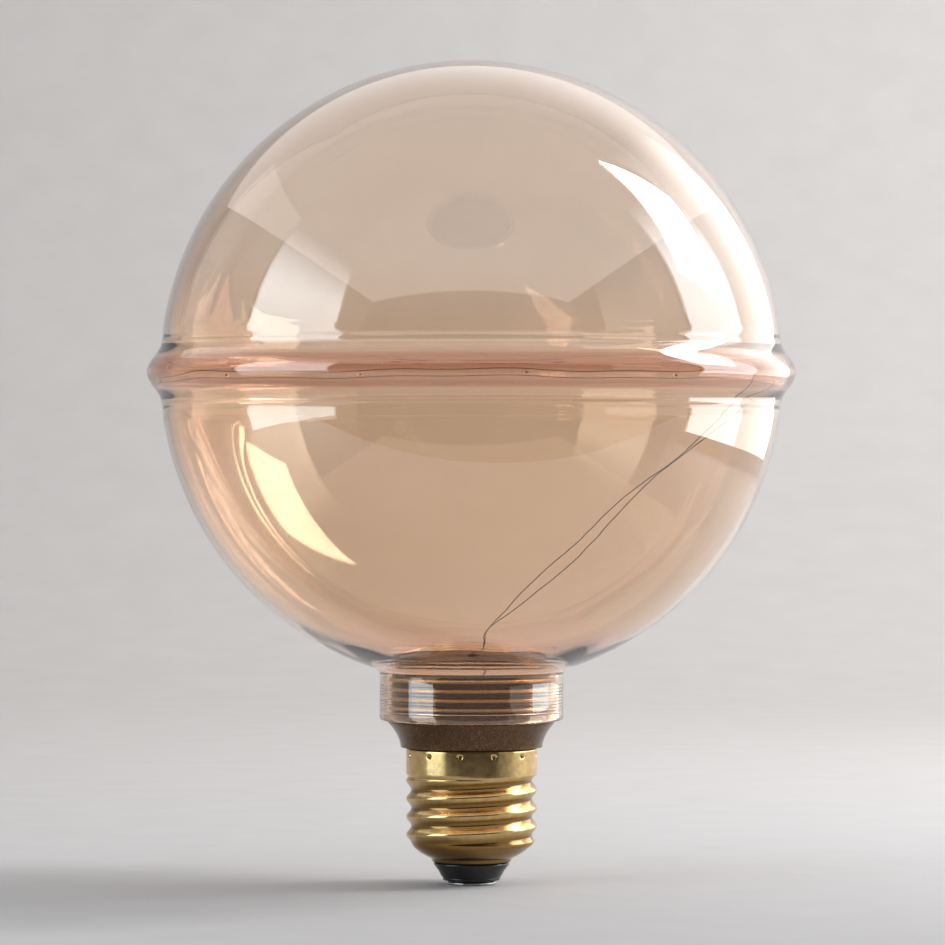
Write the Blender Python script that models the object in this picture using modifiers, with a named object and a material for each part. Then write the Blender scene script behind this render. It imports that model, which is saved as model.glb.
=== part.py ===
"""Decorative LED globe lamp with a hollow ring bead and an E27 screw cap, in metres, +Z up.

The origin is the middle of the centre contact's lower face and the lamp's axis is +Z.
Turned pieces are outlines of (radius, height) points, swept by a Screw modifier.
"""

import math

import bmesh
import bpy
from mathutils import Matrix, Vector

# Glass globe
GLOBE_RADIUS = 0.0625
GLASS_WALL = 0.0012
NECK_RADIUS = 0.01845
NECK_WALL = 0.0014
NECK_BOTTOM_Z = 0.0329
NECK_LENGTH = 0.0101
FOOT_WALL = 0.0034
BEAD_HEIGHT = 0.0026
BEAD_HALF_WIDTH = 0.0056

# Brass screw shell
CAP_RADIUS = 0.01315
CAP_RIM_Z = 0.0274
CAP_COLLAR_HEIGHT = 0.0052
CAP_WALL = 0.00035
CAP_MOUTH_RADIUS = 0.0079
THREAD_PITCH = 0.003629
THREAD_DEPTH = 0.0010
THREAD_CREST_Z = 0.0099
SHOULDER_Z = 0.0086

# Black insulator and centre contact
CONTACT_RADIUS = 0.0049
CONTACT_THICKNESS = 0.0006
RIVET_RADIUS = 0.0011
RIVET_TOP_Z = 0.0092
INSULATOR_TIP_RADIUS = 0.0057
INSULATOR_TOP_Z = 0.0080

# Bronze holder between the cap and the glass
HOLDER_WALL = 0.0014
RIB_COUNT = 4
RIB_PITCH = 0.00187
RIB_HEIGHT = 0.0007
NOTCH_WIDTH = 0.0060
NOTCH_DEPTH = 0.0016
NOTCH_ANGLE = math.radians(-65)
COVER_THICKNESS = 0.0013
BUSH_RADIUS = 0.00075
BUSH_HOLE_RADIUS = 0.0004

# Light string
LEAD_WIRE_RADIUS = 0.0001
STRING_DROP = 0.0009
STRING_SPACING = 0.0011
MICRO_LED_COUNT = 12
MICRO_LED_RADIUS = 0.00035

# Driver
BOARD_THICKNESS = 0.0010
BOARD_BOTTOM_Z = 0.0108
MAINS_WIRE_RADIUS = 0.0005

# Clearances
FIT = 0.0003
CLOSE_FIT = 0.0002

# Facets
GLASS_STEPS = 40
HOLDER_STEPS = 40
SHELL_STEPS = 32
SMALL_STEPS = 20
THREAD_ROWS_PER_PITCH = 6
SHARP_ANGLE = math.radians(35)

# Sizes that follow from the ones above
NECK_TOP_Z = NECK_BOTTOM_Z + NECK_LENGTH
NECK_BORE = NECK_RADIUS - NECK_WALL
GLOBE_CENTRE_Z = NECK_TOP_Z + math.sqrt(GLOBE_RADIUS**2 - NECK_RADIUS**2)
STRING_RADIUS = GLOBE_RADIUS - GLASS_WALL + 0.58 * BEAD_HEIGHT
CAP_BORE = CAP_RADIUS - CAP_WALL
SPIGOT_RADIUS = CAP_BORE - FIT - CLOSE_FIT / 2
BORE_RADIUS = SPIGOT_RADIUS - HOLDER_WALL
SPIGOT_BOTTOM_Z = CAP_RIM_Z - CAP_COLLAR_HEIGHT + CLOSE_FIT
INSULATOR_BOTTOM_Z = CONTACT_THICKNESS + CLOSE_FIT
HOLDER_TOP_Z = NECK_TOP_Z + FIT
RIB_CREST_RADIUS = NECK_BORE - 0.0004
RIB_ROOT_RADIUS = RIB_CREST_RADIUS - RIB_HEIGHT
SHOULDER_RADIUS = NECK_BORE - CLOSE_FIT
LEDGE_Z = NECK_BOTTOM_Z + FIT / 3
COVER_TOP_Z = HOLDER_TOP_Z - CLOSE_FIT
COVER_SEAT_Z = COVER_TOP_Z - COVER_THICKNESS - CLOSE_FIT
CUP_BORE = RIB_ROOT_RADIUS - 2 * HOLDER_WALL
COVER_BORE = RIB_ROOT_RADIUS - 0.7 * HOLDER_WALL


# ---------------------------------------------------------------- scene and helpers


def empty_scene():
    for obj in list(bpy.data.objects):
        bpy.data.objects.remove(obj, do_unlink=True)


def new_collection(name):
    collection = bpy.data.collections.new(name)
    bpy.context.scene.collection.children.link(collection)
    return collection


def finish(name, colour, roughness, metallic=0.0, transmission=0.0):
    material = bpy.data.materials.new(name)
    material.use_nodes = True
    shader = material.node_tree.nodes["Principled BSDF"]
    shader.inputs["Base Color"].default_value = (*colour, 1.0)
    shader.inputs["Roughness"].default_value = roughness
    shader.inputs["Metallic"].default_value = metallic
    shader.inputs["Transmission Weight"].default_value = transmission
    material.diffuse_color = (*colour, 1.0)
    return material


def add_piece(name, mesh, material, location=(0, 0, 0), turn=0.0):
    """Links a mesh as one piece of the lamp, `turn` radians about +Z."""
    piece = bpy.data.objects.new(name, mesh)
    piece.location = location
    piece.rotation_euler = (0, 0, turn)
    piece.parent = lamp_axis
    mesh.materials.clear()
    mesh.materials.append(material)
    lamp.objects.link(piece)
    return piece


def shade(mesh):
    mesh.shade_smooth()
    mesh.set_sharp_from_angle(angle=SHARP_ANGLE)


def settled_mesh(source):
    """The evaluated mesh of an object, welded; the object is removed."""
    bpy.context.view_layer.update()
    graph = bpy.context.evaluated_depsgraph_get()
    mesh = bpy.data.meshes.new_from_object(source.evaluated_get(graph))
    mesh.name = source.name
    bpy.data.objects.remove(source, do_unlink=True)
    work = bmesh.new()
    work.from_mesh(mesh)
    bmesh.ops.remove_doubles(work, verts=work.verts, dist=1e-6)
    work.to_mesh(mesh)
    work.free()
    shade(mesh)
    return mesh


def turned(name, outline, material, steps, location=(0, 0, 0)):
    """Sweeps an outline about Z. It runs down the outer side, and closes unless it ends on the axis."""
    points = [(radius, 0, height) for radius, height in outline]
    edges = [(i, i + 1) for i in range(len(points) - 1)]
    ends_on_axis = outline[0][0] == 0 and outline[-1][0] == 0
    if not ends_on_axis:
        edges.append((len(points) - 1, 0))
    mesh = bpy.data.meshes.new(name)
    mesh.from_pydata(points, edges, [])
    blank = bpy.data.objects.new(name + "_outline", mesh)
    lamp.objects.link(blank)
    sweep = blank.modifiers.new("Sweep", "SCREW")
    sweep.steps = steps
    sweep.render_steps = steps
    sweep.use_merge_vertices = True
    sweep.merge_threshold = 1e-6
    return add_piece(name, settled_mesh(blank), material, location)


def boxed(name, low, high, material, edge=0.00015):
    """A block between two opposite corners, with its edges bevelled."""
    low, high = Vector(low), Vector(high)
    mesh = bpy.data.meshes.new(name)
    work = bmesh.new()
    bmesh.ops.create_cube(work, size=1.0)
    bmesh.ops.scale(work, vec=high - low, verts=work.verts)
    work.to_mesh(mesh)
    work.free()
    piece = add_piece(name, mesh, material, (low + high) / 2)
    if edge:
        rounding = piece.modifiers.new("Edges", "BEVEL")
        rounding.width = edge
        rounding.segments = 1
    return piece


def tube(name, route, radius, material, resolution=2):
    """A round wire along a list of points, with closed ends."""
    curve = bpy.data.curves.new(name, "CURVE")
    curve.dimensions = "3D"
    curve.bevel_depth = radius
    curve.bevel_resolution = resolution
    curve.use_fill_caps = True
    line = curve.splines.new("POLY")
    line.points.add(len(route) - 1)
    for point, place in zip(line.points, route):
        point.co = (*place, 1.0)
    guide = bpy.data.objects.new(name + "_guide", curve)
    lamp.objects.link(guide)
    return add_piece(name, settled_mesh(guide), material)


def smooth_route(places, per_span):
    """Points along a Catmull-Rom curve through the given places."""
    places = [Vector(place) for place in places]
    first = 2 * places[0] - places[1]
    last = 2 * places[-1] - places[-2]
    padded = [first, *places, last]
    route = []
    for a, b, c, d in zip(padded, padded[1:], padded[2:], padded[3:]):
        for i in range(per_span):
            t = i / per_span
            route.append(
                0.5 * (2 * b + t * (c - a) + t * t * (2 * a - 5 * b + 4 * c - d)
                       + t**3 * (3 * b - 3 * c + d - a))
            )
    return route + [places[-1]]


def cut(piece, cutter, operation="DIFFERENCE"):
    change = piece.modifiers.new(cutter.name, "BOOLEAN")
    change.object = cutter
    change.operation = operation


def helper_block(name, size, matrix):
    """A block that shapes another piece and isn't itself part of the lamp."""
    mesh = bpy.data.meshes.new(name)
    work = bmesh.new()
    bmesh.ops.create_cube(work, size=1.0)
    bmesh.ops.scale(work, vec=size, verts=work.verts)
    work.to_mesh(mesh)
    work.free()
    block = bpy.data.objects.new(name, mesh)
    block.matrix_world = matrix
    block.hide_render = True
    block.display_type = "WIRE"
    cutters.objects.link(block)
    return block


def arc(count):
    """Shares from 0 to 1 in `count` equal parts, both ends included."""
    return [i / count for i in range(count + 1)]


# ---------------------------------------------------------------- glass globe


def bead_rise(height):
    """How far the ring bead lifts the glass at a height above the equator, with a slight waist beside it."""
    waist_half_width = 0.3 * BEAD_HALF_WIDTH
    waist_middle = BEAD_HALF_WIDTH + waist_half_width
    distance = abs(height)
    if distance < BEAD_HALF_WIDTH:
        return BEAD_HEIGHT * 0.5 * (1 + math.cos(math.pi * distance / BEAD_HALF_WIDTH))
    if distance < waist_middle + waist_half_width:
        share = (distance - waist_middle) / waist_half_width
        return -0.07 * BEAD_HEIGHT * 0.5 * (1 + math.cos(math.pi * share))
    return 0.0


def globe_point(angle, radius):
    """A point on a sphere of this radius about the globe's middle, `angle` radians from its top."""
    height = radius * math.cos(angle)
    return radius * math.sin(angle) + bead_rise(height), GLOBE_CENTRE_Z + height


def globe_angles(lowest):
    """Angles from the top pole to the neck, closer together over the bead."""
    band = math.asin(1.6 * BEAD_HALF_WIDTH / GLOBE_RADIUS)
    dome = [share * (math.pi / 2 - band) for share in arc(8)]
    bead = [math.pi / 2 + (2 * share - 1) * band for share in arc(12)]
    lower = [math.pi / 2 + band + share * (lowest - math.pi / 2 - band) for share in arc(8)]
    return dome + bead[1:] + lower[1:]


def make_globe():
    neck_angle = math.pi - math.asin((NECK_RADIUS + 0.0006) / GLOBE_RADIUS)
    outside = [globe_point(angle, GLOBE_RADIUS) for angle in globe_angles(neck_angle)]
    inside = []
    foot_start = math.radians(128)
    for angle in globe_angles(math.pi - math.asin((NECK_BORE + 0.002) / GLOBE_RADIUS)):
        thicker = max(0.0, (angle - foot_start) / (neck_angle - foot_start))
        wall = GLASS_WALL + (FOOT_WALL - GLASS_WALL) * thicker**2
        inside.append(globe_point(angle, GLOBE_RADIUS - wall))
    lip = NECK_WALL / 2
    middle = NECK_RADIUS - lip
    neck = [(NECK_RADIUS, NECK_TOP_Z - 0.0006)]
    for share in arc(4):
        turn = math.pi * share
        neck.append((middle + lip * math.cos(turn), NECK_BOTTOM_Z + lip - lip * math.sin(turn)))
    neck.append((NECK_BORE, NECK_TOP_Z))
    outside[0] = (0, GLOBE_CENTRE_Z + GLOBE_RADIUS)
    inside[0] = (0, GLOBE_CENTRE_Z + GLOBE_RADIUS - GLASS_WALL)
    turned("glass_globe", outside + neck + inside[::-1], lustre_glass, GLASS_STEPS)


# ---------------------------------------------------------------- screw cap


def shell_outline():
    """Root outline of the screw shell from the rim down to the mouth, as (radius, height)."""
    root = CAP_RADIUS - THREAD_DEPTH
    collar_bottom = CAP_RIM_Z - CAP_COLLAR_HEIGHT
    rows = [(CAP_RADIUS, CAP_RIM_Z), (CAP_RADIUS, (CAP_RIM_Z + collar_bottom) / 2)]
    rows.append((CAP_RADIUS, collar_bottom))
    thread_top = collar_bottom - 0.0006
    count = round((thread_top - SHOULDER_Z) / THREAD_PITCH * THREAD_ROWS_PER_PITCH)
    rows += [(root, thread_top + share * (SHOULDER_Z - thread_top)) for share in arc(count)]
    # The shoulder closes in a quarter of an ellipse and then a short cone to the mouth.
    cone_top_radius = CAP_MOUTH_RADIUS + 0.45 * (root - CAP_MOUTH_RADIUS)
    for share in arc(4)[1:]:
        swing = share * math.pi / 2.6
        radius = cone_top_radius + (root - cone_top_radius) * math.cos(swing)
        rows.append((radius, SHOULDER_Z - 0.0026 * math.sin(swing)))
    rows.append((CAP_MOUTH_RADIUS, SHOULDER_Z - 0.0041))
    return rows


def thread_rise(turn, height):
    """Height of the round right-hand thread above its root."""
    top = CAP_RIM_Z - CAP_COLLAR_HEIGHT
    fade = min(1.0, max(0.0, (height - 0.0072) / 0.0024))
    if height > top - 0.0003:
        return 0.0
    phase = (height - THREAD_CREST_Z) / THREAD_PITCH - (turn - math.pi) / (2 * math.pi)
    return THREAD_DEPTH * fade * 0.5 * (1 + math.cos(2 * math.pi * phase))


def make_screw_shell():
    work = bmesh.new()
    line = [work.verts.new((radius, 0, height)) for radius, height in shell_outline()]
    edges = [work.edges.new(pair) for pair in zip(line, line[1:])]
    bmesh.ops.spin(work, geom=line + edges, cent=(0, 0, 0), axis=(0, 0, 1), dvec=(0, 0, 0),
                   angle=2 * math.pi, steps=SHELL_STEPS)
    bmesh.ops.remove_doubles(work, verts=work.verts, dist=1e-6)
    for vert in work.verts:
        turn = math.atan2(vert.co.y, vert.co.x) % (2 * math.pi)
        radial = Vector((math.cos(turn), math.sin(turn), 0))
        vert.co += radial * thread_rise(turn, vert.co.z)
    bmesh.ops.recalc_face_normals(work, faces=work.faces)
    outward = sum(face.normal.dot(face.calc_center_median() * Vector((1, 1, 0))) for face in work.faces)
    if outward < 0:
        bmesh.ops.reverse_faces(work, faces=work.faces)
    mesh = bpy.data.meshes.new("screw_shell")
    work.to_mesh(mesh)
    work.free()
    shade(mesh)
    shell = add_piece("screw_shell", mesh, brass)
    wall = shell.modifiers.new("Wall", "SOLIDIFY")
    wall.thickness = CAP_WALL
    wall.offset = -1
    wall.use_even_offset = True


def make_insulator():
    neck = CAP_MOUTH_RADIUS - CAP_WALL - FIT
    flange = CAP_MOUTH_RADIUS + 0.0010
    mouth_z = SHOULDER_Z - 0.0041
    flange_z = mouth_z + 0.0020
    hole = RIVET_RADIUS + FIT
    outline = [
        (flange, INSULATOR_TOP_Z),
        (flange, flange_z),
        (neck, mouth_z + 0.0009),
        (neck, mouth_z - CLOSE_FIT),
        (neck + 0.0002, mouth_z - FIT - CLOSE_FIT),
        (INSULATOR_TIP_RADIUS, INSULATOR_BOTTOM_Z + CLOSE_FIT),
        (INSULATOR_TIP_RADIUS - 0.0004, INSULATOR_BOTTOM_Z),
        (hole, INSULATOR_BOTTOM_Z),
        (hole, INSULATOR_TOP_Z),
    ]
    turned("cap_insulator", outline, black_insulator, SHELL_STEPS)


def make_contact():
    rounding = CONTACT_THICKNESS / 2
    outline = [
        (0, RIVET_TOP_Z),
        (RIVET_RADIUS, RIVET_TOP_Z),
        (RIVET_RADIUS, CONTACT_THICKNESS),
        (CONTACT_RADIUS - rounding, CONTACT_THICKNESS),
        (CONTACT_RADIUS, rounding),
        (CONTACT_RADIUS - rounding, 0),
        (0, 0),
    ]
    turned("centre_contact", outline, tinned_metal, SHELL_STEPS)


# ---------------------------------------------------------------- holder


def rib_heights():
    """Middle height of each rib on the holder's sleeve, from the top down."""
    first = HOLDER_TOP_Z - 1.1 * RIB_PITCH
    return [first - i * RIB_PITCH for i in range(RIB_COUNT)]


def make_holder():
    outline = [(RIB_ROOT_RADIUS, HOLDER_TOP_Z)]
    for height in rib_heights():
        outline += [
            (RIB_ROOT_RADIUS, height + 0.32 * RIB_PITCH),
            (RIB_CREST_RADIUS, height + 0.08 * RIB_PITCH),
            (RIB_CREST_RADIUS, height - 0.08 * RIB_PITCH),
            (RIB_ROOT_RADIUS, height - 0.32 * RIB_PITCH),
        ]
    outline += [(RIB_ROOT_RADIUS, LEDGE_Z), (SHOULDER_RADIUS, LEDGE_Z)]
    # The skirt sweeps in from the shoulder to the cap in a hollow curve.
    skirt_top = LEDGE_Z - FIT
    skirt_bottom = CAP_RIM_Z + CLOSE_FIT
    skirt_foot = CAP_RADIUS + 0.0011
    for share in arc(6):
        radius = skirt_foot + (SHOULDER_RADIUS - skirt_foot) * (1 - share) ** 1.8
        outline.append((radius, skirt_top + share * (skirt_bottom - skirt_top)))
    funnel_bottom = CAP_RIM_Z + 0.4 * (LEDGE_Z - CAP_RIM_Z)
    outline += [
        (SPIGOT_RADIUS, skirt_bottom),
        (SPIGOT_RADIUS, SPIGOT_BOTTOM_Z),
        (BORE_RADIUS, SPIGOT_BOTTOM_Z),
        (BORE_RADIUS, funnel_bottom),
        (CUP_BORE, LEDGE_Z),
        (CUP_BORE, COVER_SEAT_Z),
        (COVER_BORE, COVER_SEAT_Z),
        (COVER_BORE, HOLDER_TOP_Z),
    ]
    holder = turned("neck_holder", outline, bronze_plastic, HOLDER_STEPS)
    notch_size = (NOTCH_WIDTH, 4 * HOLDER_WALL, 2 * NOTCH_DEPTH)
    middle = (RIB_ROOT_RADIUS + COVER_BORE) / 2
    turn = Matrix.Rotation(NOTCH_ANGLE, 4, "Z")
    notch = helper_block("rim_notch", notch_size, turn @ Matrix.Translation((0, -middle, HOLDER_TOP_Z)))
    cut(holder, notch)
    add_board_rails(holder)


def add_board_rails(holder):
    """Two pairs of rails inside the lower bore hold the long edges of the driver board."""
    rail = 0.0012
    edge_x = board_half_width()
    reach = math.sqrt(BORE_RADIUS**2 - board_front_y() ** 2) + 0.0004
    length = funnel_rail_length()
    height = SPIGOT_BOTTOM_Z + FIT + length / 2
    inner = edge_x - 0.0006
    for side in (-1, 1):
        for face in (-1, 1):
            middle_y = board_middle_y() + face * (BOARD_THICKNESS / 2 + FIT + rail / 2)
            place = Matrix.Translation((side * (inner + reach) / 2, middle_y, height))
            name = f"rail_{side}_{face}"
            cut(holder, helper_block(name, (reach - inner, rail, length), place), "UNION")


def funnel_rail_length():
    return 0.7 * (CAP_RIM_Z + 0.4 * (LEDGE_Z - CAP_RIM_Z) - SPIGOT_BOTTOM_Z)


def make_neck_glue():
    bottom = LEDGE_Z + CLOSE_FIT
    top = rib_heights()[-1] - 0.32 * RIB_PITCH - CLOSE_FIT
    inner = RIB_ROOT_RADIUS + CLOSE_FIT
    outer = NECK_BORE - CLOSE_FIT
    turned("neck_glue", [(outer, top), (outer, bottom), (inner, bottom), (inner, top)], clear_glue, HOLDER_STEPS)


def make_cover():
    rim = COVER_BORE - CLOSE_FIT
    hole = BUSH_RADIUS + CLOSE_FIT
    bottom = COVER_TOP_Z - COVER_THICKNESS
    corner = 0.0003
    outline = [
        (rim - corner, COVER_TOP_Z),
        (rim, COVER_TOP_Z - corner),
        (rim, bottom),
        (hole, bottom),
        (hole, COVER_TOP_Z),
    ]
    turned("top_cover", outline, taupe_plastic, HOLDER_STEPS)


def make_bush():
    flange = BUSH_RADIUS + 0.0005
    flange_bottom = COVER_TOP_Z + CLOSE_FIT
    flange_top = flange_bottom + 0.0005
    bottom = COVER_TOP_Z - COVER_THICKNESS - CLOSE_FIT
    outline = [
        (flange, flange_top),
        (flange, flange_bottom),
        (BUSH_RADIUS, flange_bottom),
        (BUSH_RADIUS, bottom),
        (BUSH_HOLE_RADIUS, bottom),
        (BUSH_HOLE_RADIUS, flange_top),
    ]
    turned("wire_bush", outline, dark_rubber, SMALL_STEPS)


# ---------------------------------------------------------------- driver inside the cap and holder
# Sizes and places are shares of the holder's bore, so the driver always fits its space.


def bore(share):
    return share * BORE_RADIUS


def board_middle_y():
    return bore(-0.18)


def board_front_y():
    return board_middle_y() - BOARD_THICKNESS / 2


def board_rear_y():
    return board_middle_y() + BOARD_THICKNESS / 2


def board_half_width():
    return bore(0.85)


def board_top_z():
    return COVER_SEAT_Z - 0.0025


def board_level(share):
    """A height at this share of the driver board, from its bottom to its top."""
    return BOARD_BOTTOM_Z + share * (board_top_z() - BOARD_BOTTOM_Z)


def upright_can(name, x, radius, bottom, top, material, rear=False):
    """A round component that stands beside one face of the board, with a crimped groove near its foot."""
    y = board_rear_y() + FIT + radius if rear else board_front_y() - FIT - radius
    height = top - bottom
    corner = 0.12 * radius
    outline = [
        (0, top),
        (radius - corner, top),
        (radius, top - corner),
        (radius, bottom + 0.24 * height),
        (0.9 * radius, bottom + 0.2 * height),
        (radius, bottom + 0.16 * height),
        (radius, bottom + corner),
        (radius - corner, bottom),
        (0, bottom),
    ]
    return turned(name, outline, material, SMALL_STEPS, (x, y, 0))


def make_driver_board():
    half = board_half_width()
    low = (-half, board_front_y(), BOARD_BOTTOM_Z)
    boxed("driver_board", low, (half, board_rear_y(), board_top_z()), green_board, edge=0)


def make_front_components():
    face = board_front_y() - FIT
    upright_can("input_capacitor", bore(-0.33), bore(0.29), board_level(0.11), board_level(0.5), dark_sleeve)
    upright_can("output_capacitor", bore(-0.36), bore(0.22), board_level(0.6), board_level(0.9), dark_sleeve)
    left, right = bore(0.18), bore(0.58)
    boxed("bridge_rectifier", (left, face - bore(0.2), board_level(0.08)),
          (right, face, board_level(0.3)), chip_black)
    boxed("driver_chip", (left, face - bore(0.13), board_level(0.42)),
          (right, face, board_level(0.58)), chip_black)


def make_inductor():
    """A ferrite drum core with its winding between the flanges."""
    radius = bore(0.31)
    waist = 0.5 * radius
    bottom, top = board_level(0.12), board_level(0.38)
    flange = 0.16 * (top - bottom)
    place = (bore(-0.36), board_rear_y() + FIT + radius, 0)
    core = [
        (0, top),
        (radius, top),
        (radius, top - flange),
        (waist, top - flange),
        (waist, bottom + flange),
        (radius, bottom + flange),
        (radius, bottom),
        (0, bottom),
    ]
    turned("inductor_core", core, ferrite, SMALL_STEPS, place)
    high, low = top - flange - CLOSE_FIT, bottom + flange + CLOSE_FIT
    inner, outer = waist + CLOSE_FIT, 0.93 * radius
    winding = [(outer, high), (outer, low), (inner, low), (inner, high)]
    turned("inductor_winding", winding, enamelled_copper, SMALL_STEPS, place)


def resistor_place():
    return bore(0.42), bore(0.28)


def make_mains_wiring():
    """The live side runs from the rivet through a fusible resistor, the other side to the screw shell."""
    x, y = resistor_place()
    body, cap_end, lead = bore(0.12), bore(0.14), 0.0003
    bottom, top = board_level(0.08), board_level(0.36)
    end = 0.2 * (top - bottom)
    foot, head = bottom - 0.0012, top + 0.0012
    outline = [
        (0, head),
        (lead, head),
        (lead, top),
        (cap_end, top - 0.1 * end),
        (cap_end, top - 0.8 * end),
        (body, top - end),
        (body, bottom + end),
        (cap_end, bottom + 0.8 * end),
        (cap_end, bottom + 0.1 * end),
        (lead, bottom),
        (lead, foot),
        (0, foot),
    ]
    turned("fusible_resistor", outline, resistor_green, SMALL_STEPS, (x, y, 0))
    low_z = min(foot - FIT - MAINS_WIRE_RADIUS, RIVET_TOP_Z + 0.0014)
    live = [
        (0, 0, RIVET_TOP_Z + FIT),
        (0.1 * x, 0.1 * y, RIVET_TOP_Z + 2 * FIT),
        (0.5 * x, 0.5 * y, low_z + FIT),
        (x, y, low_z),
    ]
    tube("live_lead", smooth_route(live, 4), MAINS_WIRE_RADIUS, red_sleeve)
    link = [
        (x, y, head + FIT),
        (x, 0.9 * y, head + 0.0012),
        (x, 0.3 * y, head + 0.0014),
        (x, board_rear_y() + FIT, head + 0.0014),
    ]
    tube("resistor_link", smooth_route(link, 4), lead, tinned_metal)
    wall = CAP_BORE - THREAD_DEPTH - MAINS_WIRE_RADIUS - 2 * FIT
    neutral = [
        (bore(-0.78), board_rear_y() + FIT + MAINS_WIRE_RADIUS, board_level(0.05)),
        (-0.93 * wall, 0.1 * wall, board_level(0.1)),
        (-0.96 * wall, 0.2 * wall, board_level(0.2)),
        (-0.95 * wall, 0.3 * wall, board_level(0.34)),
    ]
    tube("neutral_lead", smooth_route(neutral, 4), MAINS_WIRE_RADIUS, black_sleeve)


def make_radio():
    """The radio module stands behind the driver board on a pin header."""
    back = bore(0.46)
    thickness = 0.0008
    half = bore(0.62)
    bottom, top = board_level(0.48), board_level(1.0)
    boxed("radio_board", (-half, back, bottom), (half, back + thickness, top), blue_board, edge=0)
    shield_front = back + thickness + CLOSE_FIT
    shield_half = bore(0.42)
    shield_low = (-shield_half, shield_front, bottom + 0.1 * (top - bottom))
    shield_high = (shield_half, shield_front + 0.0017, bottom + 0.66 * (top - bottom))
    boxed("radio_shield", shield_low, shield_high, tinned_metal)
    antenna_low = (-bore(0.3), shield_front, bottom + 0.84 * (top - bottom))
    antenna_high = (bore(0.3), shield_front + 0.0012, bottom + 0.92 * (top - bottom))
    boxed("chip_antenna", antenna_low, antenna_high, white_ceramic)
    header_low = (-bore(0.4), board_rear_y() + FIT, bottom + 0.03 * (top - bottom))
    header_high = (bore(0.4), back - FIT, bottom + 0.2 * (top - bottom))
    boxed("radio_header", header_low, header_high, chip_black)
    terminal_low = (-bore(0.22), board_rear_y() + FIT, board_level(0.88))
    boxed("string_terminal", terminal_low, (bore(0.22), bore(0.12), board_level(1.0)), white_ceramic)


# ---------------------------------------------------------------- light string


def string_place(turn, offset):
    """A point of the light string inside the bead; the wires lie a little unevenly."""
    waver = 0.00018 * math.sin(7 * turn) + 0.00012 * math.sin(17 * turn + 1)
    height = GLOBE_CENTRE_Z - STRING_DROP + offset + waver
    return Vector((STRING_RADIUS * math.cos(turn), STRING_RADIUS * math.sin(turn), height))


def make_string_wire(name, side, start_turn, shares):
    """One enamelled wire: out of the terminal, through the bush, across the globe and round the bead.

    The shares place the crossing within the box between the bush and the start of the ring.
    """
    offset = side * STRING_SPACING / 2
    terminal = Vector((side * 0.0006, 0, board_top_z() + FIT))
    in_bush = side * (LEAD_WIRE_RADIUS + 0.00006)
    entry = Vector((in_bush, 0, COVER_TOP_Z - COVER_THICKNESS - 0.0008))
    leave = Vector((in_bush, 0, COVER_TOP_Z + 0.0012))
    meet = string_place(start_turn, offset)
    reach = meet - leave
    crossing = []
    for x_share, y_share, z_share in shares:
        crossing.append(leave + Vector((x_share * reach.x, y_share * reach.y, z_share * reach.z)))
    route = smooth_route([terminal, entry, leave, *crossing, meet], 3)
    ring_turns = [start_turn - share * math.radians(344) for share in arc(60)]
    route += [string_place(turn, offset) for turn in ring_turns[1:]]
    tube(name, route, LEAD_WIRE_RADIUS, enamelled_copper, resolution=1)


def make_light_string():
    supply = [
        (0.04, 0.0, 0.086),
        (0.06, 0.01, 0.136),
        (0.205, 0.14, 0.27),
        (0.39, 0.31, 0.43),
        (0.51, 0.43, 0.545),
        (0.60, 0.52, 0.615),
        (0.73, 0.64, 0.705),
        (0.795, 0.70, 0.762),
        (0.915, 0.82, 0.88),
        (0.985, 0.91, 0.962),
    ]
    give_back = [
        (0.042, 0.03, 0.088),
        (0.064, 0.06, 0.14),
        (0.14, 0.08, 0.185),
        (0.30, 0.22, 0.32),
        (0.42, 0.33, 0.44),
        (0.46, 0.36, 0.49),
        (0.59, 0.48, 0.635),
        (0.68, 0.56, 0.712),
        (0.805, 0.67, 0.815),
        (0.895, 0.76, 0.89),
        (0.985, 0.88, 0.972),
    ]
    make_string_wire("string_wire_supply", 1, math.radians(-29.8), supply)
    make_string_wire("string_wire_return", -1, math.radians(-20.0), give_back)


def make_micro_leds():
    """Clear resin drops between the two wires, all round the bead."""
    for number in range(MICRO_LED_COUNT):
        turn = math.radians(-52) - number * 2 * math.pi * 344 / 360 / MICRO_LED_COUNT
        mesh = bpy.data.meshes.new("micro_led")
        work = bmesh.new()
        bmesh.ops.create_icosphere(work, subdivisions=2, radius=MICRO_LED_RADIUS)
        bmesh.ops.scale(work, vec=(1, 1.7, 1), verts=work.verts)
        work.to_mesh(mesh)
        work.free()
        shade(mesh)
        add_piece(f"micro_led_{number + 1:02d}", mesh, led_resin, string_place(turn, 0), turn)


# ---------------------------------------------------------------- assembly

empty_scene()
lamp = new_collection("led_globe_lamp")
cutters = new_collection("shaping_blocks")
lamp_axis = bpy.data.objects.new("lamp_axis", None)
lamp.objects.link(lamp_axis)

lustre_glass = finish("lustre_glass", (0.92, 0.78, 0.66), 0.03, 0.15, 0.9)
bronze_plastic = finish("bronze_plastic", (0.11, 0.07, 0.045), 0.45, 0.6)
taupe_plastic = finish("taupe_plastic", (0.16, 0.11, 0.08), 0.5)
brass = finish("brass", (0.80, 0.60, 0.28), 0.22, 1.0)
black_insulator = finish("black_insulator", (0.006, 0.006, 0.006), 0.15)
tinned_metal = finish("tinned_metal", (0.62, 0.61, 0.59), 0.3, 1.0)
clear_glue = finish("clear_glue", (0.95, 0.93, 0.88), 0.1, 0.0, 0.9)
dark_rubber = finish("dark_rubber", (0.02, 0.015, 0.013), 0.6)
enamelled_copper = finish("enamelled_copper", (0.32, 0.13, 0.07), 0.35, 0.8)
led_resin = finish("led_resin", (0.95, 0.92, 0.75), 0.08, 0.0, 0.8)
green_board = finish("green_board", (0.02, 0.12, 0.05), 0.4)
blue_board = finish("blue_board", (0.01, 0.03, 0.12), 0.4)
dark_sleeve = finish("dark_sleeve", (0.03, 0.03, 0.04), 0.35)
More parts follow.
